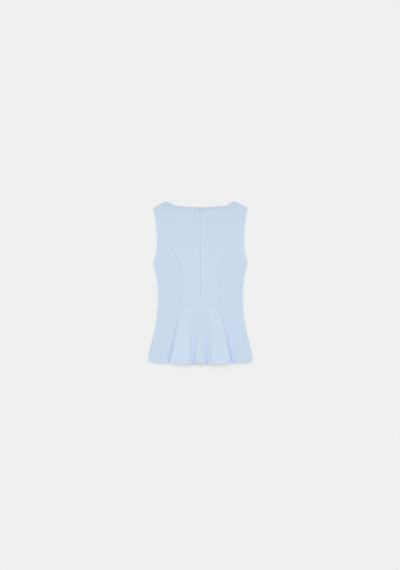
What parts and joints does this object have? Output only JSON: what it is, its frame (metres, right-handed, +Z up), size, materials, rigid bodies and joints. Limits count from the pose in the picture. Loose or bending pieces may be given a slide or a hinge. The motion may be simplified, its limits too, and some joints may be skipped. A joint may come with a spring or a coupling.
{
  "type": "peplum top",
  "caption": "Sleeveless peplum top laid flat with its back up: boat neck, curved princess seams, fluted peplum and a centre back zip with a hinged pull.",
  "frame": {"origin": "middle of the garment's length and width, on the surface it lies on", "axes": "+X across the garment to the right as its back is seen, +Y from the hem to the neck, +Z up from the surface"},
  "size_m": [0.4172, 0.651, 0.0186],
  "materials": {
    "crepe": "smooth matte stretch crepe, light blue",
    "zip_coil": "matte, dyed to match the cloth",
    "zip_metal": "satin paint, a little darker than the cloth"
  },
  "bodies": {
    "garment": {"back_centre_left": "crepe", "back_centre_right": "crepe", "back_side_left": "crepe", "back_side_right": "crepe", "back_peplum": "crepe", "front_centre": "crepe", "front_side_left": "crepe", "front_side_right": "crepe", "front_peplum": "crepe", "zip_chain": "zip_coil", "zip_slider": "zip_metal"},
    "pull_tab": {"zip_pull": "zip_metal"}
  },
  "joints": [
    {"name": "pull_lift", "type": "hinge", "parent": "garment", "child": "pull_tab", "pos_m": [0, 0.2969, 0.007], "axis": [-1, 0, 0], "range_deg": [0, 180]}
  ]
}
